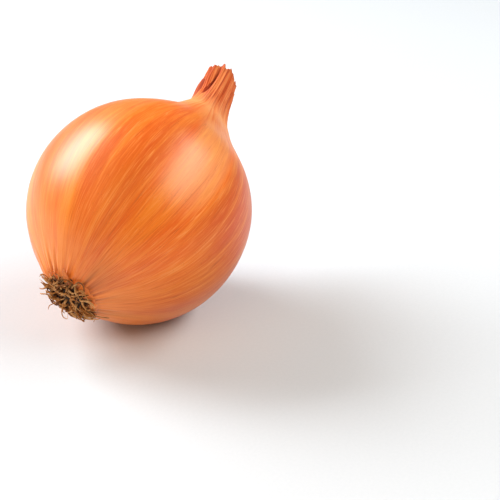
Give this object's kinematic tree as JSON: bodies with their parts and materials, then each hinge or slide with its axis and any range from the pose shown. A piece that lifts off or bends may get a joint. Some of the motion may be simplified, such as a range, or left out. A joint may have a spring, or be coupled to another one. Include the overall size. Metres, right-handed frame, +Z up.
{
  "type": "onion",
  "caption": "Round yellow onion lying on its side, with a dry papery neck at one end and a tuft of dried roots at the other.",
  "frame": {"origin": "middle of the small flat spot that the bulb rests on", "axes": "+Z up from the surface it rests on; the bulb's long axis lies over X, with the neck at +X, raised 22.5 degrees"},
  "size_m": [0.109, 0.0796, 0.0796],
  "materials": {
    "onion_skin": "satin",
    "dried_roots": "matte"
  },
  "bodies": {
    "root": {"bulb": "onion_skin", "root_tuft": "dried_roots"}
  },
  "joints": []
}
